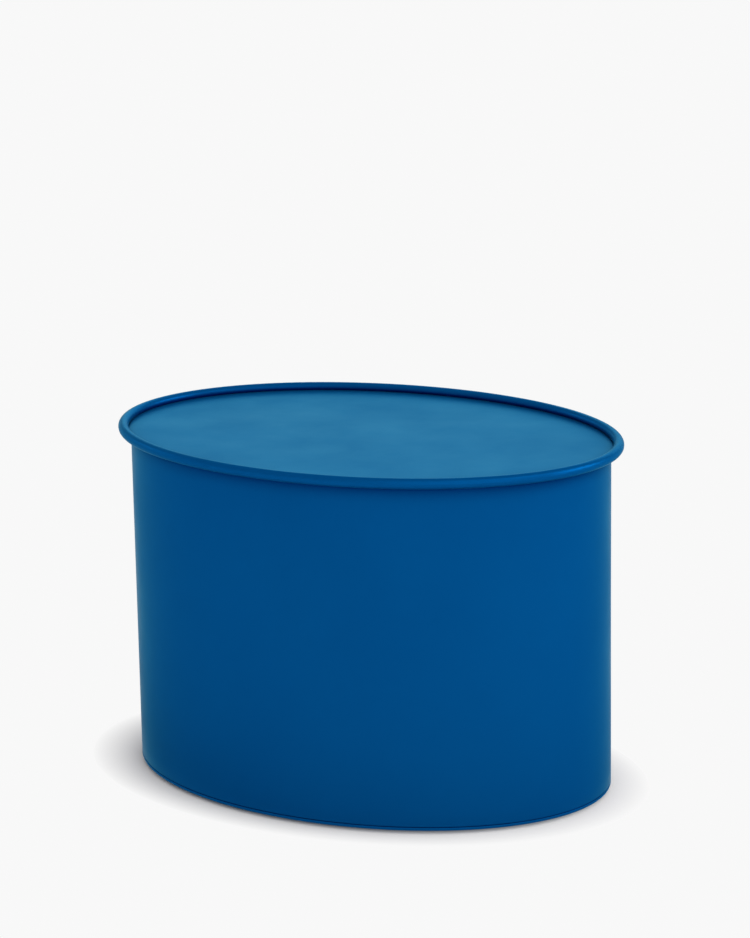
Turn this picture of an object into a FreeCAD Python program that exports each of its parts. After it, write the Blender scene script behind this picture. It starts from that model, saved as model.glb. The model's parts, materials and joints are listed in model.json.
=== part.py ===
"""Oval sheet-steel side table: a storage drum, a lift-off tray and four levelling feet.

Millimetres, +Z up. The origin is on the floor under the middle of the drum, +X runs
along the long axis of the oval and -Y is the front. Every oval is an ellipse set in
from the outer face of the drum wall, by the same amount on both of its axes.
"""
import FreeCAD
import Part
import Sketcher
import os

SIZES = (
    ("wall_length", 580.0, "outside length of the drum wall"),
    ("wall_depth", 414.0, "outside depth of the drum wall"),
    ("wall_sheet", 1.2, "thickness of the wall sheet"),
    ("total_height", 406.0, "floor to the crest of the rim"),
    ("foot_gap", 4.0, "floor to the lower edge of the wall"),
    ("weld_gap", 0.2, "gap between curved faces that are welded together"),
    ("rim_diameter", 12.0, "outside diameter of the rim tube"),
    ("rim_wall", 1.5, "wall of the rim tube"),
    ("rim_reach", 8.5, "rim tube centre line outside the face of the wall"),
    ("rim_vent", 4.0, "diameter of the vents under the rim tube"),
    ("panel_drop", 2.5, "rim centre line down to the top of the tray panel"),
    ("panel_sheet", 1.5, "thickness of the tray panel"),
    ("skirt_depth", 16.0, "depth of the locating skirt under the panel"),
    ("skirt_sheet", 1.2, "thickness of the locating skirt"),
    ("skirt_clearance", 1.5, "skirt to the inner edge of the angle ring"),
    ("stiffener_spacing", 260.0, "distance between the tray stiffeners"),
    ("stiffener_width", 24.0, "width of a stiffener across its channel"),
    ("stiffener_height", 10.0, "height of a stiffener"),
    ("stiffener_flange", 10.0, "width of each welding flange of a stiffener"),
    ("stiffener_sheet", 1.2, "thickness of a stiffener"),
    ("stiffener_end_gap", 6.0, "end of a stiffener to the skirt"),
    ("ring_width", 14.0, "width of the seat of the angle ring"),
    ("ring_height", 16.0, "height of the upright leg of the angle ring"),
    ("ring_sheet", 1.5, "thickness of the angle ring"),
    ("rest_pad_count", 8, "number of rest pads on the angle ring"),
    ("rest_pad_diameter", 10.0, "diameter of a rest pad"),
    ("rest_pad_height", 1.5, "height of a rest pad"),
    ("tray_clearance", 0.2, "rest pads to the underside of the panel"),
    ("seam_gap", 0.6, "gap between the ends of the rolled wall"),
    ("seam_strip_width", 40.0, "width of the strip behind the seam"),
    ("seam_strip_sheet", 1.2, "thickness of the strip behind the seam"),
    ("seam_strip_end_gap", 4.0, "ends of the strip to the ring and the floor plate"),
    ("floor_sheet", 1.5, "thickness of the floor plate"),
    ("drain_count", 3, "number of drain holes along the floor plate"),
    ("drain_diameter", 8.0, "diameter of a drain hole"),
    ("drain_spacing", 100.0, "distance between drain holes"),
    ("rail_width", 26.0, "width of a foot rail across its channel"),
    ("rail_height", 14.0, "height of a foot rail"),
    ("rail_flange", 9.0, "width of each welding flange of a foot rail"),
    ("rail_sheet", 2.0, "thickness of a foot rail"),
    ("rail_end_gap", 6.0, "end of a foot rail to the edge of the floor plate"),
    ("foot_inset", 40.0, "foot centres inside the face of the wall"),
    ("foot_angle", 42.0, "place of the feet round the oval, in degrees from the long axis"),
    ("foot_clearance", 0.3, "foot hexagon to the rail when screwed right in"),
    ("pad_diameter", 36.0, "diameter of a glide"),
    ("pad_height", 7.0, "height of a glide"),
    ("pad_top_diameter", 24.0, "diameter of the top of a glide"),
    ("pad_rim_height", 4.0, "height of the upright edge of a glide"),
    ("pad_chamfer", 1.0, "chamfer round the foot of a glide"),
    ("collar_diameter", 16.0, "diameter of the collar moulded into a glide"),
    ("collar_height", 3.0, "height of that collar"),
    ("collar_clearance", 0.1, "collar to the wall of its socket"),
    ("hex_width", 13.0, "width across flats of the foot hexagon and of the weld nut"),
    ("hex_height", 4.0, "height of the foot hexagon"),
    ("stem_diameter", 8.0, "diameter of the threaded stem"),
    ("stem_proud", 4.0, "stem above the weld nut when screwed right in"),
    ("stem_tip", 1.0, "chamfer at the tip of the stem"),
    ("thread_clearance", 0.1, "stem to the bore of the nut"),
    ("rail_hole_clearance", 0.5, "stem to the hole in the rail"),
    ("nut_height", 6.5, "height of a weld nut"),
)

# Levels above the floor and places in the plan, worked out from the sizes
RIM_LEVEL = "(Size.total_height - Size.rim_diameter / 2)"
PANEL_TOP = f"({RIM_LEVEL} - Size.panel_drop)"
PANEL_UNDERSIDE = f"({PANEL_TOP} - Size.panel_sheet)"
WALL_TOP = f"({PANEL_UNDERSIDE} - Size.tray_clearance - Size.rest_pad_height)"
RAIL_BOTTOM = "(Size.pad_height + Size.hex_height + Size.foot_clearance)"
FLOOR_UNDERSIDE = f"({RAIL_BOTTOM} + Size.rail_height)"
FLOOR_TOP = f"({FLOOR_UNDERSIDE} + Size.floor_sheet)"
NUT_BOTTOM = f"({RAIL_BOTTOM} + Size.rail_sheet)"
STEM_TOP = f"({NUT_BOTTOM} + Size.nut_height + Size.stem_proud)"

ON_RIM = "(-Size.rim_reach)"
WALL_INSIDE = "Size.wall_sheet"
WELDED_TO_WALL = "(Size.wall_sheet + Size.weld_gap)"
RING_EDGE = f"({WELDED_TO_WALL} + Size.ring_width)"
SKIRT_OUTSIDE = f"({RING_EDGE} + Size.skirt_clearance)"
SKIRT_INSIDE = f"({SKIRT_OUTSIDE} + Size.skirt_sheet)"
FOOT_X = "((Size.wall_length / 2 - Size.foot_inset) * cos(Size.foot_angle * 1 deg))"
FOOT_Y = "((Size.wall_depth / 2 - Size.foot_inset) * sin(Size.foot_angle * 1 deg))"
HEX_RADIUS = "(Size.hex_width / 2 / cos(30 deg))"

# The long axis of an ellipse comes first, so a drum deeper than it is long is turned
LONG_ALONG_X = "Size.wall_length >= Size.wall_depth"

doc = FreeCAD.newDocument("side_table")
sheet = doc.addObject("Spreadsheet::Sheet", "Size")
for row, (alias, value, note) in enumerate(SIZES, start=1):
    sheet.set(f"A{row}", note)
    sheet.set(f"B{row}", str(value))
    sheet.setAlias(f"B{row}", alias)
doc.recompute()

nodes = []


def bind(item, **expressions):
    """Tie properties of an object to the sheet; a double underscore stands for a dot."""
    for path, expression in expressions.items():
        item.setExpression(path.replace("__", "."), expression)
    return item


def place(item, x="0", y="0", z="0"):
    """Tie the place of an object to the sheet."""
    return bind(item, Placement__Base__x=x, Placement__Base__y=y, Placement__Base__z=z)


def node(item, label):
    """Name a finished piece and keep it for writing."""
    item.Label = label
    nodes.append(item)
    return item


def cut(name, base, *tools):
    """Take each tool away from the base in turn."""
    for number, tool in enumerate(tools, start=1):
        item = doc.addObject("Part::Cut", f"{name}_cut_{number}")
        item.Base = base
        item.Tool = tool
        base = item
    return base


def fuse(name, *pieces):
    """Join primitives into one solid."""
    item = doc.addObject("Part::MultiFuse", f"{name}_solid")
    item.Shapes = list(pieces)
    item.Refine = True
    return item


def group(name, pieces):
    """Keep like pieces as separate solids of one node."""
    item = doc.addObject("Part::Compound", f"{name}_group")
    item.Links = pieces
    return item


def cylinder(name, diameter, height, x="0", y="0", z="0"):
    """Upright cylinder standing on a level."""
    item = doc.addObject("Part::Cylinder", name)
    bind(item, Radius=f"({diameter}) / 2", Height=height)
    return place(item, x, y, z)


def hexagon(name, height, x="0", y="0", z="0"):
    """Upright hexagon prism standing on a level."""
    item = doc.addObject("Part::Prism", name)
    item.Polygon = 6
    bind(item, Circumradius=HEX_RADIUS, Height=height)
    return place(item, x, y, z)


def oval(name, inset, level):
    """Ellipse at a level, set in from the outer face of the wall."""
    half_length = f"(Size.wall_length / 2 - {inset})"
    half_depth = f"(Size.wall_depth / 2 - {inset})"
    item = doc.addObject("Part::Ellipse", name)
    bind(
        item,
        MajorRadius=f"max({half_length}; {half_depth})",
        MinorRadius=f"min({half_length}; {half_depth})",
        Placement__Rotation__Angle=f"{LONG_ALONG_X} ? 0 deg : 90 deg",
    )
    return place(item, z=level)


def oval_block(name, inset, level, height):
    """Solid oval cylinder standing on a level."""
    item = doc.addObject("Part::Extrusion", name)
    item.Base = oval(f"{name}_outline", inset, level)
    item.DirMode = "Custom"
    item.Dir = FreeCAD.Vector(0, 0, 1)
    item.Solid = True
    return bind(item, LengthFwd=height)


def oval_bar(name, inset, level, diameter):
    """Round bar bent to an oval."""
    section = doc.addObject("Part::Circle", f"{name}_section")
    bind(
        section,
        Radius=f"({diameter}) / 2",
        Placement__Rotation__Axis__x=f"{LONG_ALONG_X} ? 1 : 0",
        Placement__Rotation__Axis__y=f"{LONG_ALONG_X} ? 0 : 1",
        Placement__Rotation__Axis__z="0",
        Placement__Rotation__Angle="90 deg",
    )
    end_x = f"{LONG_ALONG_X} ? Size.wall_length / 2 - {inset} : 0"
    end_y = f"{LONG_ALONG_X} ? 0 : Size.wall_depth / 2 - {inset}"
    place(section, end_x, end_y, level)
    item = doc.addObject("Part::Sweep", name)
    item.Sections = [section]
    item.Spine = (oval(f"{name}_path", inset, level), ["Edge1"])
    item.Solid = True
    return item


def half_chord(x, inset):
    """Half the depth of an inset oval, at a distance from the middle along X."""
    half_length = f"(Size.wall_length / 2 - {inset})"
    half_depth = f"(Size.wall_depth / 2 - {inset})"
    return f"({half_depth} * sqrt(1 - ({x} / {half_length}) ^ 2))"


def origin_plane(body, role):
    """One of the origin planes of a body."""
    return next(item for item in body.Origin.OriginFeatures if item.Role == role)


def outline_sketch(body, name, role, points):
    """Closed outline on an origin plane; each corner is a pair of expressions."""
    sketch = body.newObject("Sketcher::SketchObject", name)
    sketch.AttachmentSupport = [(origin_plane(body, role), "")]
    sketch.MapMode = "FlatFace"
    count = len(points)
    for number in range(count):
        start = FreeCAD.Vector(number, number * number, 0)
        end = FreeCAD.Vector(number + 1, (number + 1) ** 2, 0)
        sketch.addGeometry(Part.LineSegment(start, end))
    for number in range(count):
        sketch.addConstraint(Sketcher.Constraint("Coincident", number, 2, (number + 1) % count, 1))
    for number, corner in enumerate(points):
        for kind, axis, expression in (("DistanceX", -2, corner[0]), ("DistanceY", -1, corner[1])):
            if expression == "0":
                sketch.addConstraint(Sketcher.Constraint("PointOnObject", number, 1, axis))
            else:
                index = sketch.addConstraint(Sketcher.Constraint(kind, -1, 1, number, 1, 1.0))
                sketch.setExpression(f"Constraints[{index}]", expression)
    return sketch


def hat_channel(name, width, height, flange, thickness, half_length, x, level):
    """Hat section along Y with its flanges on top; the level is that of its web."""
    body = doc.addObject("PartDesign::Body", f"{name}_body")
    total = f"({width} + 2 * {flange})"
    inner_left = f"({flange} + {thickness})"
    inner_right = f"({flange} + {width} - {thickness})"
    right = f"({flange} + {width})"
    under_flange = f"({height} - {thickness})"
    corners = (
        (flange, "0"),
        (right, "0"),
        (right, under_flange),
        (total, under_flange),
        (total, height),
        (inner_right, height),
        (inner_right, thickness),
        (inner_left, thickness),
        (inner_left, height),
        ("0", height),
        ("0", under_flange),
        (flange, under_flange),
    )
    sketch = outline_sketch(body, f"{name}_profile", "XZ_Plane", corners)
    pad = body.newObject("PartDesign::Pad", f"{name}_pad")
    pad.Profile = sketch
    pad.Midplane = True
    bind(pad, Length=f"2 * {half_length}")
    return place(body, x=f"{x} - {total} / 2", z=level)


def tray_pieces():
    """The tray: panel, rim tube, locating skirt and two stiffeners."""
    panel_blank = oval_block("panel_blank", ON_RIM, PANEL_UNDERSIDE, "Size.panel_sheet")
    beside_rim = oval_bar("beside_rim", ON_RIM, PANEL_TOP, "Size.rim_diameter + Size.weld_gap")
    node(cut("panel", panel_blank, beside_rim), "tray_panel")

    bore = "Size.rim_diameter - 2 * Size.rim_wall"
    vents = []
    for side, sign in (("front", "-"), ("back", "")):
        vent_y = f"{sign}(Size.wall_depth / 2 + Size.rim_reach)"
        vent_z = f"{RIM_LEVEL} - Size.rim_diameter"
        vents.append(cylinder(f"rim_vent_{side}", "Size.rim_vent", "Size.rim_diameter", "0", vent_y, vent_z))
    rim_outer = oval_bar("rim_outer", ON_RIM, RIM_LEVEL, "Size.rim_diameter")
    rim_bore = oval_bar("rim_bore", ON_RIM, RIM_LEVEL, bore)
    node(cut("rim", rim_outer, rim_bore, *vents), "rim_tube")

    skirt_bottom = f"({PANEL_UNDERSIDE} - Size.skirt_depth)"
    skirt_outer = oval_block("skirt_outer", SKIRT_OUTSIDE, skirt_bottom, "Size.skirt_depth")
    skirt_hollow = oval_block("skirt_hollow", SKIRT_INSIDE, skirt_bottom, "Size.skirt_depth")
    node(cut("skirt", skirt_outer, skirt_hollow), "locating_skirt")

    corner_x = "(Size.stiffener_spacing / 2 + Size.stiffener_width / 2 + Size.stiffener_flange)"
    half_length = f"({half_chord(corner_x, SKIRT_INSIDE)} - Size.stiffener_end_gap)"
    level = f"{PANEL_UNDERSIDE} - Size.stiffener_height"
    for side, sign in (("left", "-"), ("right", "")):
        stiffener = hat_channel(
            f"stiffener_{side}", "Size.stiffener_width", "Size.stiffener_height",
            "Size.stiffener_flange", "Size.stiffener_sheet", half_length,
            f"{sign}Size.stiffener_spacing / 2", level,
        )
        node(stiffener, f"tray_stiffener_{side}")


def wall_pieces():
    """The rolled wall, the strip behind its seam, the angle ring and its rest pads."""
    wall_height = f"({WALL_TOP} - Size.foot_gap)"
    wall_outer = oval_block("wall_outer", "0", "Size.foot_gap", wall_height)
    wall_hollow = oval_block("wall_hollow", WALL_INSIDE, "Size.foot_gap", wall_height)
    seam = doc.addObject("Part::Box", "seam")
    bind(seam, Length="Size.seam_gap", Width="Size.wall_depth", Height=wall_height)
    place(seam, x="-Size.seam_gap / 2", z="Size.foot_gap")
    node(cut("wall", wall_outer, wall_hollow, seam), "drum_wall")

    ring_bottom = f"({WALL_TOP} - Size.ring_height)"
    upright_inside = f"({WELDED_TO_WALL} + Size.ring_sheet)"
    ring_outer = oval_block("ring_outer", WELDED_TO_WALL, ring_bottom, "Size.ring_height")
    under_seat = oval_block("under_seat", upright_inside, ring_bottom, "Size.ring_height - Size.ring_sheet")
    mouth = oval_block("mouth", RING_EDGE, ring_bottom, "Size.ring_height")
    node(cut("ring", ring_outer, under_seat, mouth), "top_angle_ring")

    strip_bottom = f"({FLOOR_TOP} + Size.seam_strip_end_gap)"
    strip_height = f"({ring_bottom} - Size.seam_strip_end_gap - {strip_bottom})"
    strip_inside = f"({WELDED_TO_WALL} + Size.seam_strip_sheet)"
    strip_outer = oval_block("strip_outer", WELDED_TO_WALL, strip_bottom, strip_height)
    strip_hollow = oval_block("strip_hollow", strip_inside, strip_bottom, strip_height)
    strip_width = doc.addObject("Part::Box", "strip_width")
    bind(strip_width, Length="Size.seam_strip_width", Width="Size.wall_depth", Height=strip_height)
    place(strip_width, x="-Size.seam_strip_width / 2", z=strip_bottom)
    strip = doc.addObject("Part::Common", "strip_piece")
    strip.Base = cut("strip", strip_outer, strip_hollow)
    strip.Tool = strip_width
    node(strip, "seam_strip")

    pads = []
    pad_count = int(sheet.rest_pad_count)
    on_seat = f"({WELDED_TO_WALL} + Size.ring_width / 2)"
    for number in range(pad_count):
        turn = f"({number + 0.5} * 360 deg / Size.rest_pad_count)"
        pad_x = f"(Size.wall_length / 2 - {on_seat}) * cos({turn})"
        pad_y = f"(Size.wall_depth / 2 - {on_seat}) * sin({turn})"
        pad = cylinder(
            f"rest_pad_{number + 1}", "Size.rest_pad_diameter", "Size.rest_pad_height",
            pad_x, pad_y, WALL_TOP,
        )
        pads.append(pad)
    node(group("rest_pads", pads), "rest_pads")


def floor_pieces():
    """The floor plate with its drain holes, the foot rails and the weld nuts."""
    plate = oval_block("plate", WELDED_TO_WALL, FLOOR_UNDERSIDE, "Size.floor_sheet")
    drains = []
    for number in range(int(sheet.drain_count)):
        drain_x = f"({number} - (Size.drain_count - 1) / 2) * Size.drain_spacing"
        drains.append(cylinder(
            f"drain_{number + 1}", "Size.drain_diameter", "Size.floor_sheet", drain_x, "0", FLOOR_UNDERSIDE,
        ))
    node(cut("plate", plate, *drains), "floor_plate")

    corner_x = f"({FOOT_X} + Size.rail_width / 2 + Size.rail_flange)"
    half_length = f"({half_chord(corner_x, WELDED_TO_WALL)} - Size.rail_end_gap)"
    hole = "Size.stem_diameter + 2 * Size.rail_hole_clearance"
    bore = "Size.stem_diameter + 2 * Size.thread_clearance"
    nuts = []
    for side, x_sign in (("left", "-"), ("right", "")):
        rail_x = f"{x_sign}{FOOT_X}"
        rail = hat_channel(
            f"rail_{side}", "Size.rail_width", "Size.rail_height",
            "Size.rail_flange", "Size.rail_sheet", half_length, rail_x, RAIL_BOTTOM,
        )
        holes = []
        for end, y_sign in (("front", "-"), ("rear", "")):
            foot_y = f"{y_sign}{FOOT_Y}"
            holes.append(cylinder(
                f"rail_hole_{end}_{side}", hole, "Size.rail_sheet", rail_x, foot_y, RAIL_BOTTOM,
            ))
            blank = hexagon(f"nut_blank_{end}_{side}", "Size.nut_height", rail_x, foot_y, NUT_BOTTOM)
            thread = cylinder(
                f"nut_bore_{end}_{side}", bore, "Size.nut_height", rail_x, foot_y, NUT_BOTTOM,
            )
            nuts.append(cut(f"nut_{end}_{side}", blank, thread))
        node(cut(f"rail_{side}", rail, *holes), f"foot_rail_{side}")
    node(group("weld_nuts", nuts), "weld_nuts")


def foot_pieces(name, x, y):
    """One levelling foot: a stem with hexagon and collar, and the glide moulded on it."""
    collar_bottom = "(Size.pad_height - Size.collar_height)"
    shank_bottom = "(Size.pad_height + Size.hex_height)"
    tip_bottom = f"({STEM_TOP} - Size.stem_tip)"
    collar = cylinder(f"collar_{name}", "Size.collar_diameter", "Size.collar_height", x, y, collar_bottom)
    drive = hexagon(f"hexagon_{name}", "Size.hex_height", x, y, "Size.pad_height")
    shank_length = f"{tip_bottom} - {shank_bottom}"
    shank = cylinder(f"shank_{name}", "Size.stem_diameter", shank_length, x, y, shank_bottom)
    tip = doc.addObject("Part::Cone", f"tip_{name}")
    bind(
        tip,
        Radius1="Size.stem_diameter / 2",
        Radius2="Size.stem_diameter / 2 - Size.stem_tip",
        Height="Size.stem_tip",
    )
    place(tip, x, y, tip_bottom)
    node(fuse(f"stem_{name}", collar, drive, shank, tip), f"foot_stem_{name}")

    socket = "(Size.collar_diameter / 2 + Size.collar_clearance)"
    edge = "Size.pad_diameter / 2"
    corners = (
        ("0", "0"),
        (f"{edge} - Size.pad_chamfer", "0"),
        (edge, "Size.pad_chamfer"),
        (edge, "Size.pad_rim_height"),
        ("Size.pad_top_diameter / 2", "Size.pad_height"),
        (socket, "Size.pad_height"),
        (socket, collar_bottom),
        ("0", collar_bottom),
    )
    body = doc.addObject("PartDesign::Body", f"glide_{name}_body")
    sketch = outline_sketch(body, f"glide_{name}_profile", "XZ_Plane", corners)
    turned = body.newObject("PartDesign::Revolution", f"glide_{name}_turned")
    turned.Profile = sketch
    turned.ReferenceAxis = (sketch, ["V_Axis"])
    turned.Angle = 360
    node(place(body, x, y), f"foot_pad_{name}")


def check_document():
    """Stop if any object failed or any piece is empty or broken."""
    failed = [item.Name for item in doc.Objects if {"Invalid", "Error"} & set(item.State)]
    if failed:
        raise RuntimeError(f"failed objects: {failed}")
    for item in nodes:
        shape = item.Shape
        if shape.isNull() or not shape.isValid() or not shape.Solids:
            raise RuntimeError(f"bad shape: {item.Label}")
        if min(solid.Volume for solid in shape.Solids) <= 0:
            raise RuntimeError(f"inside-out solid: {item.Label}")


tray_pieces()
wall_pieces()
floor_pieces()
for end, y_sign in (("front", "-"), ("rear", "")):
    for side, x_sign in (("left", "-"), ("right", "")):
        foot_pieces(f"{end}_{side}", f"{x_sign}{FOOT_X}", f"{y_sign}{FOOT_Y}")

doc.recompute()
check_document()

os.makedirs("parts", exist_ok=True)
for item in nodes:
    item.Shape.exportStep(f"parts/{item.Label}.step")
    print(f"{item.Label}: {len(item.Shape.Solids)} solids, {item.Shape.Volume / 1000:.2f} cm3")
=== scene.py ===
"""Looks of the oval steel side table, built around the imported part."""

import json
import math

import bpy
import numpy as np
from mathutils import Matrix, Vector


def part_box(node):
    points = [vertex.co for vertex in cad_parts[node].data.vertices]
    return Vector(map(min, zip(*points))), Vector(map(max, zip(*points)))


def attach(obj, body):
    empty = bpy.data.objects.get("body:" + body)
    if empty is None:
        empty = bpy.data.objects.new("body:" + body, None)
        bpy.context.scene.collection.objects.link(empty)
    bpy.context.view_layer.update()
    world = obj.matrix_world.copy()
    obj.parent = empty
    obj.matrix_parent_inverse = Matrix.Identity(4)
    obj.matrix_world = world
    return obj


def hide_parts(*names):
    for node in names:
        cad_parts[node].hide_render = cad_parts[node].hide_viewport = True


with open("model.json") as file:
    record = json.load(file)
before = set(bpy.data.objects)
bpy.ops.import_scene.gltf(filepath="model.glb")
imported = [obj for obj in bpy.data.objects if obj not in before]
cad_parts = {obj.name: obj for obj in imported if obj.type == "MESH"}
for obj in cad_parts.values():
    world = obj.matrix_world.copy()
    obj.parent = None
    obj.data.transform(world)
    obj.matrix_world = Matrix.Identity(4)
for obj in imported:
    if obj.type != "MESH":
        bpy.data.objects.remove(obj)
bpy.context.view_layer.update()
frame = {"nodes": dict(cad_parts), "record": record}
nodes = frame["nodes"]
scene = bpy.context.scene

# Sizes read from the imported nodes, in metres
wall_low, wall_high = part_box("drum_wall")
rim_low, rim_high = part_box("rim_tube")
panel_low, panel_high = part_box("tray_panel")
floor_low, floor_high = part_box("floor_plate")
strip_low, strip_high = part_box("seam_strip")
ring_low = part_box("top_angle_ring")[0]
skirt_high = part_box("locating_skirt")[1]

WALL_A = wall_high.x
WALL_B = wall_high.y
RIM_RADIUS = (rim_high.z - rim_low.z) / 2
RIM_LEVEL = (rim_high.z + rim_low.z) / 2
RIM_A = rim_high.x - RIM_RADIUS
RIM_B = rim_high.y - RIM_RADIUS
PANEL_TOP = panel_high.z

# Sheet of the drum and the tray, in metres
WALL_SHEET = 0.0012
RAIL_SHEET = 0.0020
SOFT_EDGE = 0.0004
SEAM_HALF = 0.0003

# Foot of the wall: turned in, with a pressed line above its lip
FOOT_ROLL = 0.0020
FOOT_TURN = 0.0085
FOOT_END = 0.00025
LIP_HEIGHT = 0.0036
LINE_HEIGHT = 0.0015
LINE_DEPTH = 0.0009
WAVE_DEPTH = 0.00006

# Middle of the shadow on the floor, from the middle of the table
SHADOW_X = -0.0120
SHADOW_Y = 0.0035


# Node helpers

def shader(name):
    """New node material: its tree, its surface shader and its object coordinates."""
    material = bpy.data.materials.new(name)
    material.use_nodes = True
    tree = material.node_tree
    surface = tree.nodes["Principled BSDF"]
    place = tree.nodes.new("ShaderNodeTexCoord").outputs["Object"]
    return material, tree, surface, place


def noise(tree, place, scale, detail=3.0, roughness=0.5, stretch=None):
    """Noise of one scale, in features per metre; a stretch squeezes it along the axes."""
    if stretch:
        mapping = tree.nodes.new("ShaderNodeMapping")
        mapping.inputs["Scale"].default_value = stretch
        tree.links.new(place, mapping.inputs["Vector"])
        place = mapping.outputs["Vector"]
    node = tree.nodes.new("ShaderNodeTexNoise")
    node.inputs["Scale"].default_value = scale
    node.inputs["Detail"].default_value = detail
    node.inputs["Roughness"].default_value = roughness
    tree.links.new(place, node.inputs["Vector"])
    return node.outputs["Fac"]


def spread(tree, value, source, target):
    """Map a value from a source range to a target range, held at both ends."""
    node = tree.nodes.new("ShaderNodeMapRange")
    for key, number in zip(("From Min", "From Max", "To Min", "To Max"), (*source, *target)):
        node.inputs[key].default_value = number
    tree.links.new(value, node.inputs["Value"])
    return node.outputs["Result"]


def combined(tree, operation, first, second):
    """Two values put together by one operation."""
    node = tree.nodes.new("ShaderNodeMath")
    node.operation = operation
    tree.links.new(first, node.inputs[0])
    tree.links.new(second, node.inputs[1])
    return node.outputs["Value"]


def between(tree, factor, first, second):
    """Mix of two values."""
    node = tree.nodes.new("ShaderNodeMix")
    for key, value in (("Factor", factor), ("A", first), ("B", second)):
        tree.links.new(value, node.inputs[key])
    return node.outputs["Result"]


def blended(tree, factor, first, second):
    """Mix of two colours; each is a colour or a socket."""
    node = tree.nodes.new("ShaderNodeMix")
    node.data_type = "RGBA"
    tree.links.new(factor, node.inputs["Factor"])
    for key, colour in (("A", first), ("B", second)):
        socket = next(s for s in node.inputs if s.name == key and s.type == "RGBA")
        if isinstance(colour, tuple):
            socket.default_value = (*colour, 1.0)
        else:
            tree.links.new(colour, socket)
    return next(s for s in node.outputs if s.type == "RGBA")


def upward(tree, vector):
    """Height of a point, or the upward part of a direction."""
    axes = tree.nodes.new("ShaderNodeSeparateXYZ")
    tree.links.new(vector, axes.inputs["Vector"])
    return axes.outputs["Z"]


def bumped(tree, height, distance, strength=1.0, below=None):
    """Bump from a height; it may lie over another normal."""
    node = tree.nodes.new("ShaderNodeBump")
    node.inputs["Strength"].default_value = strength
    node.inputs["Distance"].default_value = distance
    tree.links.new(height, node.inputs["Height"])
    if below:
        tree.links.new(below, node.inputs["Normal"])
    return node.outputs["Normal"]


def edges(tree, radius):
    """Softened normal at sharp edges, and a mask of those edges."""
    soft = tree.nodes.new("ShaderNodeBevel")
    soft.samples = 6
    soft.inputs["Radius"].default_value = radius
    flat = tree.nodes.new("ShaderNodeNewGeometry")
    dot = tree.nodes.new("ShaderNodeVectorMath")
    dot.operation = "DOT_PRODUCT"
    tree.links.new(soft.outputs["Normal"], dot.inputs[0])
    tree.links.new(flat.outputs["Normal"], dot.inputs[1])
    return soft.outputs["Normal"], spread(tree, dot.outputs["Value"], (0.995, 0.86), (0.0, 1.0))


def shade_openness(tree, place):
    """Openness from ambient occlusion, which steers the painted shade: 0 deep in a fold, 1 in the open; the
    reach stays above the floor.
    """
    reach = spread(tree, upward(tree, place), (0.015, 0.045), (0.003, 0.020))
    node = tree.nodes.new("ShaderNodeAmbientOcclusion")
    node.samples = 8
    tree.links.new(reach, node.inputs["Distance"])
    return spread(tree, node.outputs["AO"], (0.46, 0.96), (0.0, 1.0))


# Materials of the part

def powder_coat():
    """Satin blue powder coat: orange peel, faint clouds, edges rubbed lighter, and painted shade in creases
    and under the rim tube.
    """
    deep, clear = (0.0004, 0.078, 0.268), (0.0006, 0.084, 0.282)
    # The last colour on the next line is painted shade, for creases and under the rim tube.
    fleck, worn, painted_shade = (0.0012, 0.094, 0.304), (0.03, 0.20, 0.42), (0.0, 0.010, 0.115)
    material, tree, surface, place = shader("powder_coat")
    soft_normal, edge = edges(tree, 0.0006)
    cloud = spread(tree, noise(tree, place, 7.0, 4.0, 0.55), (0.3, 0.7), (0.0, 1.0))
    paint = blended(tree, cloud, deep, clear)
    speck = spread(tree, noise(tree, place, 900.0, 2.0), (0.62, 0.78), (0.0, 0.25))
    paint = blended(tree, speck, paint, fleck)
    rubbed = spread(tree, noise(tree, place, 60.0, 4.0, 0.6), (0.42, 0.68), (0.0, 0.55))
    paint = blended(tree, combined(tree, "MULTIPLY", edge, rubbed), paint, worn)
    # Painted shade: the base colour darkens to a deep blue in creases, at the rim tube's joints and on the
    # wall just below the tube.
    paint = blended(tree, shade_openness(tree, place), painted_shade, paint)
    tree.links.new(paint, surface.inputs["Base Color"])
    satin = spread(tree, noise(tree, place, 13.0, 4.0, 0.55), (0.3, 0.7), (0.28, 0.37))
    tree.links.new(satin, surface.inputs["Roughness"])
    surface.inputs["Specular IOR Level"].default_value = 0.004
    surface.inputs["Specular Tint"].default_value = (0.28, 0.80, 0.82, 1.0)
    surface.inputs["Metallic"].default_value = 0.40
    surface.inputs["Sheen Weight"].default_value = 0.08
    surface.inputs["Sheen Roughness"].default_value = 0.35
    surface.inputs["Sheen Tint"].default_value = (0.04, 0.80, 1.0, 1.0)
    sagged = bumped(tree, noise(tree, place, 55.0, 2.0), 0.00010, 0.5, soft_normal)
    peel = bumped(tree, noise(tree, place, 520.0, 2.0, 0.4), 0.000016, 0.8, sagged)
    tree.links.new(peel, surface.inputs["Normal"])
    return material


def zinc_steel():
    """Bright zinc on turned steel: fine turning marks and faint passivation tints."""
    bright, yellowed = (0.60, 0.61, 0.60), (0.66, 0.64, 0.57)
    dulled, polished = (0.42, 0.43, 0.45), (0.78, 0.78, 0.77)
    material, tree, surface, place = shader("zinc_steel")
    soft_normal, edge = edges(tree, 0.0003)
    tint = spread(tree, noise(tree, place, 190.0, 4.0), (0.35, 0.65), (0.0, 1.0))
    colour = blended(tree, tint, bright, yellowed)
    dull = spread(tree, noise(tree, place, 800.0, 3.0), (0.55, 0.75), (0.0, 0.5))
    colour = blended(tree, dull, colour, dulled)
    colour = blended(tree, edge, colour, polished)
    tree.links.new(colour, surface.inputs["Base Color"])
    surface.inputs["Metallic"].default_value = 1.0
    grain = noise(tree, place, 900.0, 3.0, 0.6, stretch=(0.25, 0.25, 4.0))
    tree.links.new(spread(tree, grain, (0.3, 0.7), (0.26, 0.44)), surface.inputs["Roughness"])
    tree.links.new(bumped(tree, grain, 0.00002, 0.6, soft_normal), surface.inputs["Normal"])
    return material


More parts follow.
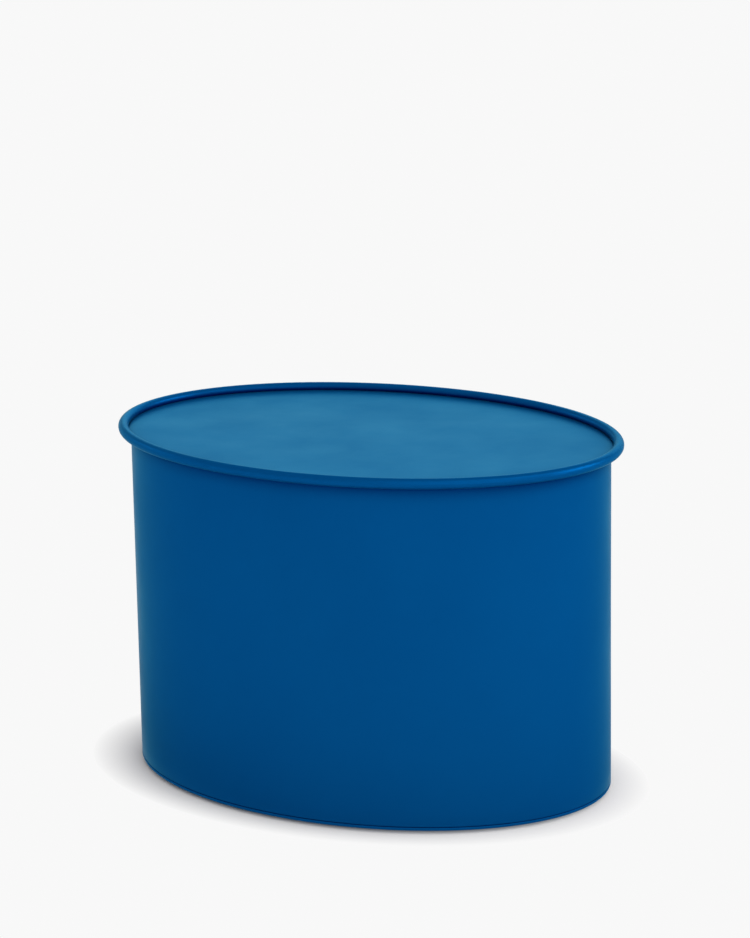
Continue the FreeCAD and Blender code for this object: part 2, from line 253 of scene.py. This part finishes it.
def glide_plastic():
    """Black moulded nylon: spark-eroded grain and scuffs near the floor."""
    black, grey, scuff = (0.020, 0.020, 0.022), (0.031, 0.031, 0.034), (0.11, 0.11, 0.11)
    material, tree, surface, place = shader("glide_plastic")
    grain = noise(tree, place, 2600.0, 2.0, 0.6)
    cloud = spread(tree, noise(tree, place, 110.0, 3.0), (0.35, 0.65), (0.0, 1.0))
    colour = blended(tree, cloud, black, grey)
    near_floor = spread(tree, upward(tree, place), (0.0001, 0.0012), (1.0, 0.0))
    scratches = noise(tree, place, 420.0, 5.0, 0.7, stretch=(1.0, 0.12, 1.0))
    streaks = spread(tree, scratches, (0.5, 0.7), (0.0, 0.7))
    colour = blended(tree, combined(tree, "MULTIPLY", near_floor, streaks), colour, scuff)
    tree.links.new(colour, surface.inputs["Base Color"])
    tree.links.new(spread(tree, grain, (0.3, 0.7), (0.48, 0.62)), surface.inputs["Roughness"])
    tree.links.new(bumped(tree, grain, 0.00003, 0.7), surface.inputs["Normal"])
    return material


def rest_rubber():
    """Black rubber with a dusty bloom."""
    black, dusty = (0.013, 0.013, 0.013), (0.034, 0.034, 0.033)
    material, tree, surface, place = shader("rest_rubber")
    bloom = spread(tree, noise(tree, place, 260.0, 4.0, 0.6), (0.4, 0.7), (0.0, 1.0))
    tree.links.new(blended(tree, bloom, black, dusty), surface.inputs["Base Color"])
    tree.links.new(spread(tree, bloom, (0.0, 1.0), (0.68, 0.84)), surface.inputs["Roughness"])
    tree.links.new(bumped(tree, noise(tree, place, 1500.0, 2.0), 0.00003, 0.6), surface.inputs["Normal"])
    return material


FINISH = {
    "powder_coat": powder_coat(),
    "zinc_steel": zinc_steel(),
    "glide_plastic": glide_plastic(),
    "rest_rubber": rest_rubber(),
}


# Mesh helpers

def piece(name, parts, body, slot, stands_for=(), sharp=35.0):
    """One object from parts, each a pair of corner points and faces."""
    points, faces = [], []
    for corners, polygons in parts:
        start = len(points)
        points.extend(tuple(map(float, corner)) for corner in corners)
        faces.extend(tuple(start + int(index) for index in polygon) for polygon in polygons)
    mesh = bpy.data.meshes.new(name)
    mesh.from_pydata(points, [], faces)
    mesh.validate()
    mesh.shade_smooth()
    mesh.set_sharp_from_angle(angle=math.radians(sharp))
    item = bpy.data.objects.new(name, mesh)
    scene.collection.objects.link(item)
    mesh.materials.append(FINISH[slot])
    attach(item, body)
    if stands_for:
        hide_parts(*stands_for)
    return item


def grid_faces(rows, columns, wrap_rows=False, wrap_columns=False):
    """Quads over a grid of points kept row by row."""
    faces = []
    for i in range(rows if wrap_rows else rows - 1):
        for j in range(columns if wrap_columns else columns - 1):
            i2 = (i + 1) % rows
            j2 = (j + 1) % columns
            faces.append((i * columns + j, i * columns + j2, i2 * columns + j2, i2 * columns + j))
    return faces


def even_turns(a, b, start, end, count, closed):
    """Angles that step evenly along an ellipse."""
    fine = np.linspace(start, end, 20001)
    steps = np.hypot(np.diff(a * np.cos(fine)), np.diff(b * np.sin(fine)))
    length = np.concatenate([[0.0], np.cumsum(steps)])
    wanted = np.linspace(0.0, length[-1], count + 1 if closed else count)
    return np.interp(wanted[:-1] if closed else wanted, length, fine)


def on_oval(a, b, turns, inset):
    """Points of an ellipse, moved inwards along its normals, with those normals."""
    normal = np.stack([np.cos(turns) / a, np.sin(turns) / b], axis=-1)
    normal /= np.linalg.norm(normal, axis=-1, keepdims=True)
    edge = np.stack([a * np.cos(turns), b * np.sin(turns)], axis=-1)
    return edge - inset * normal, normal


def oval_sweep(profile, a, b, turns):
    """Grid of points: a profile of insets and levels carried along an ellipse."""
    grid = np.zeros((len(turns), len(profile), 3))
    for j, (inset, level) in enumerate(profile):
        grid[:, j, :2] = on_oval(a, b, turns, inset)[0]
        grid[:, j, 2] = level
    return grid


def arc(centre, radius, start, end, count):
    """Points on an arc in a section, angles in degrees."""
    angles = np.radians(np.linspace(start, end, count))
    return [(centre[0] + radius * math.cos(t), centre[1] + radius * math.sin(t)) for t in angles]


def turned(profile, x, y, segments=64, radius_at=None):
    """Surface turned about an upright line; a profile is pairs of radius and level."""
    turns = np.linspace(0.0, 2 * math.pi, segments, endpoint=False)
    points = []
    for radius, level in profile:
        for turn in turns:
            r = radius_at(radius, turn, level) if radius_at else radius
            points.append((x + r * math.cos(turn), y + r * math.sin(turn), level))
    faces = grid_faces(len(profile), segments, wrap_columns=True)
    low = len(points)
    points.append((x, y, profile[0][1]))
    points.append((x, y, profile[-1][1]))
    last = (len(profile) - 1) * segments
    for j in range(segments):
        faces.append((low, (j + 1) % segments, j))
        faces.append((low + 1, last + j, last + (j + 1) % segments))
    return points, faces


# Drum wall: rolled sheet with softened edges, a butt seam and a turned-in foot

def wall_face(depth, flange_end, top_arc):
    """One face of the bent sheet, at a depth through it, from the end of the flange to the top edge."""
    low, top = wall_low.z, wall_high.z
    line_low = low + LIP_HEIGHT
    points = [(FOOT_TURN, low + depth + flange_end), (FOOT_TURN - FOOT_END, low + depth)]
    points += arc((FOOT_ROLL, low + FOOT_ROLL), FOOT_ROLL - depth, 270, 180, 13)
    for share in np.linspace(0.0, 1.0, 17):
        pressed = LINE_DEPTH * math.sin(math.pi * share) ** 2
        points.append((depth + pressed, line_low + share * LINE_HEIGHT))
    levels = np.linspace(line_low + LINE_HEIGHT, top - SOFT_EDGE, 26)[1:-1]
    points += [(depth, level) for level in levels]
    return points + top_arc


def sheet_waves(turns, height):
    """How far the rolled sheet lies inside its true oval: slow waves that die out at both edges."""
    belly = np.sin(math.pi * height)
    slow = np.sin(3 * turns + 0.7)[:, None] * belly ** 2
    quick = np.sin(7 * turns + 2.1)[:, None] * np.sin(2 * math.pi * height + 0.4) * belly
    return WAVE_DEPTH * (1.6 + slow + 0.6 * quick) * belly ** 2


def rolled_wall():
    """The wall as one bent sheet: turned-in foot, pressed line above its lip, ends meeting at the back."""
    low, top = wall_low.z, wall_high.z
    round_end = 0.00015
    shoulder = top - SOFT_EDGE
    outside = wall_face(0.0, round_end, arc((SOFT_EDGE, shoulder), SOFT_EDGE, 180, 90, 6))
    inside = wall_face(
        WALL_SHEET, -round_end, arc((WALL_SHEET - SOFT_EDGE, shoulder), SOFT_EDGE, 0, 90, 6))
    half = math.asin(SEAM_HALF / WALL_A)
    turns = even_turns(WALL_A, WALL_B, math.pi / 2 + half, 2.5 * math.pi - half, 440, False)
    grid = oval_sweep(outside + inside[::-1], WALL_A, WALL_B, turns)
    normal = on_oval(WALL_A, WALL_B, turns, 0.0)[1]
    inward = sheet_waves(turns, (grid[:, :, 2] - low) / (top - low))
    grid[:, :, :2] -= inward[:, :, None] * normal[:, None, :]
    rows, columns = grid.shape[:2]
    faces = grid_faces(rows, columns, wrap_columns=True)
    for row, flip in ((0, False), (rows - 1, True)):
        for j in range(len(outside) - 1):
            quad = (j, j + 1, columns - 2 - j, columns - 1 - j)
            quad = tuple(row * columns + index for index in quad)
            faces.append(quad[::-1] if flip else quad)
    return grid.reshape(-1, 3), faces


piece("rolled_wall", [rolled_wall()], "drum", "powder_coat", ["drum_wall"])


# Tray: the weld under the panel, all round

def rim_weld():
    """Weld under the panel that joins it to the rim tube, a little below the panel's top."""
    level = panel_low.z
    edge = RIM_RADIUS + 0.0001
    drop = RIM_LEVEL - level
    beside = math.sqrt(RIM_RADIUS ** 2 - drop ** 2)
    root = 0.0004
    throat = [(edge + 0.0002, level + root), (beside, level + root), (beside - 0.0010, level - 0.0004)]
    face = arc((edge + 0.0012, level - 0.0032), 0.0032, 165, 90, 9)
    profile = throat + [(beside - 0.0008, level - 0.0009)] + face + [(edge + 0.0010, level + root)]
    turns = even_turns(RIM_A, RIM_B, 0.0, 2 * math.pi, 420, True)
    grid = oval_sweep(profile, RIM_A, RIM_B, turns)
    return grid.reshape(-1, 3), grid_faces(*grid.shape[:2], wrap_rows=True, wrap_columns=True)


piece("rim_weld", [rim_weld()], "tray", "powder_coat", sharp=60.0)


# Welds inside and underneath

def stitches(inset, level, up, count, length, size, shift=0.0):
    """Short rippled weld beads, this far inside the wall's oval, on or under a level face."""
    steps, ripple, tuck = 49, 0.0022, 0.0001
    along = np.linspace(-1.0, 1.0, steps)
    ends = np.clip(1.0 - np.abs(along) ** 9, 0.05, 1.0)
    swell = ends * (1.0 + 0.10 * np.cos(along * length / ripple * math.pi))
    quarters = np.linspace(0.0, math.pi / 2, 7)
    columns = len(quarters) + 1
    parts = []
    for middle in even_turns(WALL_A, WALL_B, shift, 2 * math.pi + shift, count, True):
        speed = math.hypot((WALL_A - inset) * math.sin(middle), (WALL_B - inset) * math.cos(middle))
        half = length / 2 / speed
        turns = np.linspace(middle - half, middle + half, steps)
        corner, normal = on_oval(WALL_A, WALL_B, turns, inset)
        grid = np.zeros((steps, columns, 3))
        for j, quarter in enumerate(quarters):
            bulge = size * swell * (0.82 + 0.10 * math.sin(2 * quarter))
            grid[:, j, :2] = corner - (bulge * math.sin(quarter))[:, None] * normal
            grid[:, j, 2] = level + up * bulge * math.cos(quarter)
        grid[:, -1, :2] = on_oval(WALL_A, WALL_B, turns, inset - tuck)[0]
        grid[:, -1, 2] = level - up * tuck
        faces = grid_faces(steps, columns, wrap_columns=True)
        faces.append(tuple(range(columns)))
        faces.append(tuple((steps - 1) * columns + j for j in reversed(range(columns))))
        parts.append((grid.reshape(-1, 3), faces))
    return parts


def spot(point, normal, radius=0.0030):
    """Shallow electrode mark of a spot weld, on a face with this normal."""
    normal = Vector(normal).normalized()
    across = normal.orthogonal().normalized()
    other = normal.cross(across)
    sunk, hollow = -0.00005, 0.00002
    shape = ((1.0, sunk), (0.98, 0.00006), (0.90, 0.00014), (0.80, 0.00012), (0.70, 0.00003), (0.35, hollow))
    points, segments = [], 24
    for share, height in shape:
        for step in range(segments):
            turn = 2 * math.pi * step / segments
            away = radius * share * (math.cos(turn) * across + math.sin(turn) * other)
            points.append(Vector(point) + away + height * normal)
    faces = grid_faces(len(shape), segments, wrap_columns=True)
    last = (len(shape) - 1) * segments
    middle = len(points)
    points.append(Vector(point) + hollow * normal)
    points.append(Vector(point) + sunk * normal)
    for j in range(segments):
        faces.append((last + j, last + (j + 1) % segments, middle))
        faces.append(((j + 1) % segments, j, middle + 1))
    return points, faces


def rows_of_spots(node, normal, level, inset, pitch, off_edge):
    """Spot welds in two rows along the flanges of a hat channel."""
    low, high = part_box(node)
    parts = []
    count = int((high.y - low.y - 2 * inset) / pitch) + 1
    for x in (low.x + off_edge, high.x - off_edge):
        for y in np.linspace(low.y + inset, high.y - inset, count):
            parts.append(spot((x, y, level), normal))
    return parts


def strip_spots():
    """Spot welds in two rows on the inner face of the seam strip."""
    inset = WALL_B - strip_high.y + WALL_SHEET
    off_middle, from_end, count = 0.013, 0.018, 9
    parts = []
    for x in (-off_middle, off_middle):
        turn = math.acos(x / WALL_A)
        for level in np.linspace(strip_low.z + from_end, strip_high.z - from_end, count):
            mark, outward = on_oval(WALL_A, WALL_B, np.array([turn]), inset)
            parts.append(spot((*mark[0], level), (-outward[0][0], -outward[0][1], 0.0)))
    return parts


SKIRT_INSIDE = WALL_A - skirt_high.x + WALL_SHEET
ring_welds = stitches(WALL_SHEET, ring_low.z, -1, count=18, length=0.030, size=0.0022)
floor_welds = stitches(WALL_SHEET, floor_high.z, 1, count=18, length=0.030, size=0.0024, shift=0.17)
floor_welds += stitches(WALL_SHEET, floor_low.z, -1, count=18, length=0.030, size=0.0024)
skirt_welds = stitches(SKIRT_INSIDE, skirt_high.z, -1, count=16, length=0.025, size=0.0020)
piece("ring_welds", ring_welds, "drum", "powder_coat")
piece("floor_welds", floor_welds, "drum", "powder_coat")
piece("skirt_welds", skirt_welds, "tray", "powder_coat")

UP, DOWN = (0, 0, 1), (0, 0, -1)
drum_marks, tray_marks = [], []
for side in ("left", "right"):
    rail, stiffener = f"foot_rail_{side}", f"tray_stiffener_{side}"
    rail_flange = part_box(rail)[1].z - RAIL_SHEET
    stiffener_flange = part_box(stiffener)[1].z - WALL_SHEET
    drum_marks += rows_of_spots(rail, DOWN, rail_flange, inset=0.018, pitch=0.045, off_edge=0.0045)
    drum_marks += rows_of_spots(rail, UP, floor_high.z, inset=0.018, pitch=0.045, off_edge=0.0045)
    tray_marks += rows_of_spots(
        stiffener, DOWN, stiffener_flange, inset=0.018, pitch=0.050, off_edge=0.005)
drum_marks += strip_spots()
piece("drum_spot_welds", drum_marks, "drum", "powder_coat", sharp=50.0)
piece("tray_spot_welds", tray_marks, "tray", "powder_coat", sharp=50.0)


# Rest pads

def rest_pad(x, y, low, high, radius):
    """Rubber disc with a rounded upper edge and a shallow dish."""
    profile = [(radius - 0.0003, low), (radius, low + 0.00025)]
    profile += arc((radius - 0.00045, high - 0.00045), 0.00045, 0, 90, 7)
    profile += [(radius * 0.55, high), (radius * 0.50, high - 0.00012), (radius * 0.2, high - 0.00016)]
    return turned(profile, x, y, 48)


def solids_of(node, apart=0.012):
    """Points of each loose solid of a node; solids stand further apart than this."""
    groups = []
    for point in np.array([v.co[:] for v in nodes[node].data.vertices]):
        for found in groups:
            if np.hypot(*(np.mean(found, axis=0)[:2] - point[:2])) < apart:
                found.append(point)
                break
        else:
            groups.append([point])
    return [np.array(found) for found in groups]


pads = []
for points in solids_of("rest_pads"):
    low, high = points.min(axis=0), points.max(axis=0)
    x, y = (low[:2] + high[:2]) / 2
    pads.append(rest_pad(x, y, low[2], high[2], (high[0] - low[0]) / 2))
piece("rubber_rests", pads, "drum", "rest_rubber", ["rest_pads"])


# Levelling feet

def glide(x, y):
    """Moulded glide: rounded edges, a parting line and rings under its sole."""
    radius, top, groove, line = 0.018, 0.007, 0.00035, 0.00012
    profile = [(0.0030, 0.0)]
    for start in (0.0060, 0.0108):
        profile += [(start, 0.0), (start + 0.0004, groove), (start + 0.0012, groove), (start + 0.0016, 0.0)]
    profile += [(0.0162, 0.0)]
    profile += arc((radius - 0.0016, 0.0016), 0.0016, 275, 360, 8)
    profile += [(radius, 0.0024), (radius - line, 0.00255), (radius - line, 0.0027), (radius, 0.00285)]
    profile += [(radius, 0.0035)]
    profile += arc((radius - 0.0008, 0.0036), 0.0008, 10, 58, 5)
    profile += [(0.0126, 0.00665), (0.0122, 0.00690), (0.0116, top)]
    profile += [(0.0086, top), (0.0081, 0.0068), (0.0081, 0.0041)]
    return turned(profile, x, y, 72)


def stem(x, y, high):
    """Threaded stem with a chamfered hexagon and a collar."""
    across, pitch, major, minor = 0.013, 0.00125, 0.004, 0.00335
    collar, soft = 0.0080, 0.0003
    collar_low, hex_low, hex_high = 0.0040, 0.0070, 0.0110
    tip = high - 0.0010

    def radius_at(radius, turn, level):
        if hex_low < level < hex_high:
            flat = across / 2 / math.cos(turn % (math.pi / 3) - math.pi / 6)
            from_end = min(level - hex_low, hex_high - level)
            return min(flat, 0.00655 + 1.7 * from_end)
        if radius == major:
            phase = (level / pitch - turn / (2 * math.pi)) % 1.0
            cut = minor + (major - minor) * min(1.0, max(0.0, 2.4 * abs(phase - 0.5) - 0.1))
            return min(cut, major - max(0.0, level - tip))
        return radius

    profile = [(0.0040, collar_low), (collar - soft, collar_low), (collar, collar_low + soft)]
    profile += [(collar, 0.0066), (collar - soft, 0.0069), (0.0068, hex_low)]
    profile += [(0.0, level) for level in (0.00701, 0.0074, 0.0078, 0.0102, 0.0106, 0.01099)]
    profile += [(0.0062, hex_high), (0.0037, hex_high), (0.0034, 0.0112)]
    profile += [(major, level) for level in np.arange(0.0114, high - 1e-6, pitch / 12)]
    profile += [(0.0026, high)]
    return turned(profile, x, y, 72, radius_at)


for end in ("front", "rear"):
    for side in ("left", "right"):
        foot = f"{end}_{side}"
        body, pad_node, stem_node = f"foot_{foot}", f"foot_pad_{foot}", f"foot_stem_{foot}"
        pad_low, pad_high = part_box(pad_node)
        x, y = (pad_low.x + pad_high.x) / 2, (pad_low.y + pad_high.y) / 2
        stem_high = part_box(stem_node)[1].z
        piece(f"glide_{foot}", [glide(x, y)], body, "glide_plastic", [pad_node])
        piece(f"threaded_stem_{foot}", [stem(x, y, stem_high)], body, "zinc_steel", [stem_node])


# Finishes on the nodes that stay

for subpart in frame["record"]["subparts"]:
    item = nodes[subpart["node"]]
    item.data.materials.clear()
    item.data.materials.append(FINISH[subpart["material_slot"]])


# Floor with a coved backdrop all round

def oval_distance(tree, place):
    """Distance from the middle of the shadow, as a share of the wall's oval: 1 at the wall."""
    ovals = tree.nodes.new("ShaderNodeMapping")
    ovals.inputs["Scale"].default_value = (1.0 / WALL_A, 1.0 / WALL_B, 0.0)
    ovals.inputs["Location"].default_value = (-SHADOW_X / WALL_A, -SHADOW_Y / WALL_B, 0.0)
    tree.links.new(place, ovals.inputs["Vector"])
    away = tree.nodes.new("ShaderNodeVectorMath")
    away.operation = "LENGTH"
    tree.links.new(ovals.outputs["Vector"], away.inputs[0])
    return away.outputs["Value"]


def pale_floor():
    """Matt floor: white to the eye apart from the table's shadow; near the table it is painted dark as a
    source of bounce, a painted shade on the lower wall.
    """
    white, black, in_shadow = (0.90, 0.90, 0.90), (0.0, 0.0, 0.0), (0.88, 0.85, 0.83)
    # Dark floor colour seen only by bounce rays near the table: painted shade on the table's lower wall.
    painted_dark_bounce = (0.03, 0.03, 0.03)
    material, tree, surface, place = shader("pale_floor")
    path = tree.nodes.new("ShaderNodeLightPath")
    eye = path.outputs["Is Camera Ray"]
    seen = combined(tree, "MAXIMUM", eye, path.outputs["Is Glossy Ray"])
    seen = combined(tree, "MAXIMUM", seen, path.outputs["Is Transmission Ray"])
    away = oval_distance(tree, place)
    outside = spread(tree, away, (0.96, 1.0), (0.0, 1.0))
    # Painted light: beside the foot the floor glows in reflections and is white to bounce rays, though it
    # lies in shade, to light the foot's turned-in edge.
    painted_foot_glow = combined(tree, "MULTIPLY", spread(tree, away, (1.02, 1.20), (0.5, 0.0)), outside)
    to_eye = spread(tree, away, (0.96, 1.19), (0.0, 1.0))
    in_gloss = combined(tree, "ADD", spread(tree, away, (1.0, 3.0), (0.20, 1.0)), painted_foot_glow)
    glow = between(tree, eye, in_gloss, to_eye)
    # Painted shade: close to the table the floor is dark to bounce rays only, which darkens the table's
    # lower wall.
    bounce = blended(tree, spread(tree, away, (1.0, 2.2), (0.0, 1.0)), painted_dark_bounce, white)
    bounce = blended(tree, painted_foot_glow, bounce, white)
    lit = blended(tree, glow, in_shadow, black)
    tree.links.new(blended(tree, seen, bounce, lit), surface.inputs["Base Color"])
    surface.inputs["Emission Color"].default_value = (0.94, 0.94, 0.94, 1.0)
    tree.links.new(combined(tree, "MULTIPLY", seen, glow), surface.inputs["Emission Strength"])
    surface.inputs["Roughness"].default_value = 0.9
    surface.inputs["Specular IOR Level"].default_value = 0.0
    return material


def studio():
    """Round floor that curves up into a low wall far behind."""
    reach, cove, height, segments = 16.0, 2.0, 3.4, 128
    profile = [(0.5, 0.0), (4.0, 0.0), (9.0, 0.0)]
    profile += arc((reach - cove, cove), cove, 270, 360, 13)
    profile += [(reach, height)]
    turns = np.linspace(0.0, 2 * math.pi, segments, endpoint=False)
    points = [(r * math.cos(t), r * math.sin(t), z) for r, z in profile for t in turns]
    faces = [quad[::-1] for quad in grid_faces(len(profile), segments, wrap_columns=True)]
    points.append((0.0, 0.0, 0.0))
    faces += [(len(points) - 1, j, (j + 1) % segments) for j in range(segments)]
    mesh = bpy.data.meshes.new("studio_floor")
    mesh.from_pydata(points, [], faces)
    mesh.shade_smooth()
    item = bpy.data.objects.new("studio_floor", mesh)
    scene.collection.objects.link(item)
    mesh.materials.append(pale_floor())


studio()


# Light: an even dome, a softbox in front and soft lamps all round; azimuth 0 is the front, 90 the right

def dome(zenith, all_round):
    """World light that changes evenly from the horizon to overhead."""
    world = bpy.data.worlds.new("studio_dome")
    scene.world = world
    world.use_nodes = True
    tree = world.node_tree
    direction = tree.nodes.new("ShaderNodeTexCoord").outputs["Generated"]
    strength = spread(tree, upward(tree, direction), (0.0, 1.0), (all_round, zenith))
    background = tree.nodes["Background"]
    tree.links.new(strength, background.inputs["Strength"])
    background.inputs["Color"].default_value = (1.0, 1.0, 1.0, 1.0)


def soft_lamp(name, azimuth, elevation, strength, spread_angle):
    """Large even lamp, far away, seen from the table at this azimuth and elevation."""
    lamp = bpy.data.lights.new(name, "SUN")
    lamp.energy = strength
    lamp.angle = math.radians(spread_angle)
    item = bpy.data.objects.new(name, lamp)
    scene.collection.objects.link(item)
    a, e = math.radians(azimuth), math.radians(elevation)
    towards = Vector((math.sin(a) * math.cos(e), -math.cos(a) * math.cos(e), math.sin(e)))
    item.rotation_euler = towards.to_track_quat("Z", "Y").to_euler()


def softbox(name, azimuth, distance, height, power, size):
    """Round softbox aimed at the table from this azimuth, distance and height."""
    lamp = bpy.data.lights.new(name, "AREA")
    lamp.shape = "DISK"
    lamp.size = size
    lamp.energy = power
    item = bpy.data.objects.new(name, lamp)
    scene.collection.objects.link(item)
    a = math.radians(azimuth)
    item.location = (distance * math.sin(a), -distance * math.cos(a), height)
    aim = Vector(item.location) - Vector((0.0, 0.0, PANEL_TOP / 2))
    item.rotation_euler = aim.to_track_quat("Z", "Y").to_euler()


dome(zenith=0.48, all_round=0.58)
softbox("front_softbox", azimuth=46.0, distance=1.7, height=1.45, power=11.0, size=2.4)
soft_lamp("right_lamp", azimuth=118.0, elevation=20.0, strength=1.40, spread_angle=40.0)
soft_lamp("back_lamp", azimuth=197.0, elevation=15.0, strength=0.64, spread_angle=45.0)
soft_lamp("strip_lamp", azimuth=86.0, elevation=44.0, strength=0.12, spread_angle=8.0)
soft_lamp("left_lamp", azimuth=268.0, elevation=15.0, strength=0.25, spread_angle=30.0)


# Camera, fitted to the edges in the photograph

def camera(place, azimuth, pitch, roll, lens):
    """Camera at the photograph's viewing angle; angles in radians, the lens in millimetres."""
    data = bpy.data.cameras.new("camera")
    data.lens = lens
    data.sensor_width = 36.0
    data.clip_end = 100.0
    item = bpy.data.objects.new("camera", data)
    scene.collection.objects.link(item)
    level = Vector((-math.sin(azimuth), math.cos(azimuth), 0.0))
    right = Vector((math.cos(azimuth), math.sin(azimuth), 0.0))
    ahead = math.cos(pitch) * level - math.sin(pitch) * Vector((0.0, 0.0, 1.0))
    up = right.cross(ahead)
    turned_right = math.cos(roll) * right + math.sin(roll) * up
    turned_up = -math.sin(roll) * right + math.cos(roll) * up
    turn = Matrix((turned_right, turned_up, -ahead)).transposed().to_4x4()
    item.matrix_world = Matrix.Translation(place) @ turn
    scene.camera = item


camera(place=(1.8057, -3.1588, 1.2775), azimuth=0.5170, pitch=0.2478, roll=-0.0170, lens=126.58)
scene.view_settings.view_transform = "Standard"
